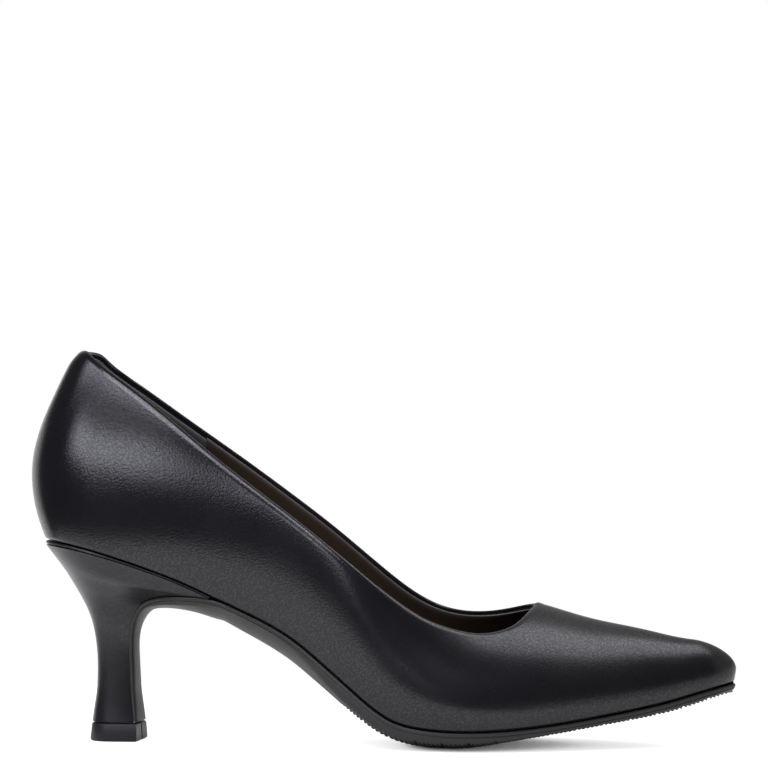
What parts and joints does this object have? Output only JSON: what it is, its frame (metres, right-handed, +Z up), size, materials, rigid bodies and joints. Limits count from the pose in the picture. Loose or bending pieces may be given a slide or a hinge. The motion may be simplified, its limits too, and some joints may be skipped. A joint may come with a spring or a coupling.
{
  "type": "dress shoe",
  "caption": "Women's pointed-toe court shoe for the right foot, smooth black leather upper on a thin moulded sole with a mid-height flared heel.",
  "frame": {"origin": "on the floor under the middle of the outline", "axes": "+X towards the toe, +Y towards the inner (medial) side, +Z up"},
  "size_m": [0.2498, 0.078, 0.1393],
  "materials": {
    "upper_leather": "smooth fine-grain black leather, soft gloss",
    "sock": "matt dark brown sock and lining",
    "sole_unit": "satin black-brown moulded sole",
    "rand": "satin black strip",
    "heel_cover": "satin black covered heel",
    "lift": "satin black heel tip"
  },
  "bodies": {
    "root": {"upper": "upper_leather", "insole": "sock", "outsole": "sole_unit", "heel_rand": "rand", "heel": "heel_cover", "top_lift": "lift"}
  },
  "joints": []
}
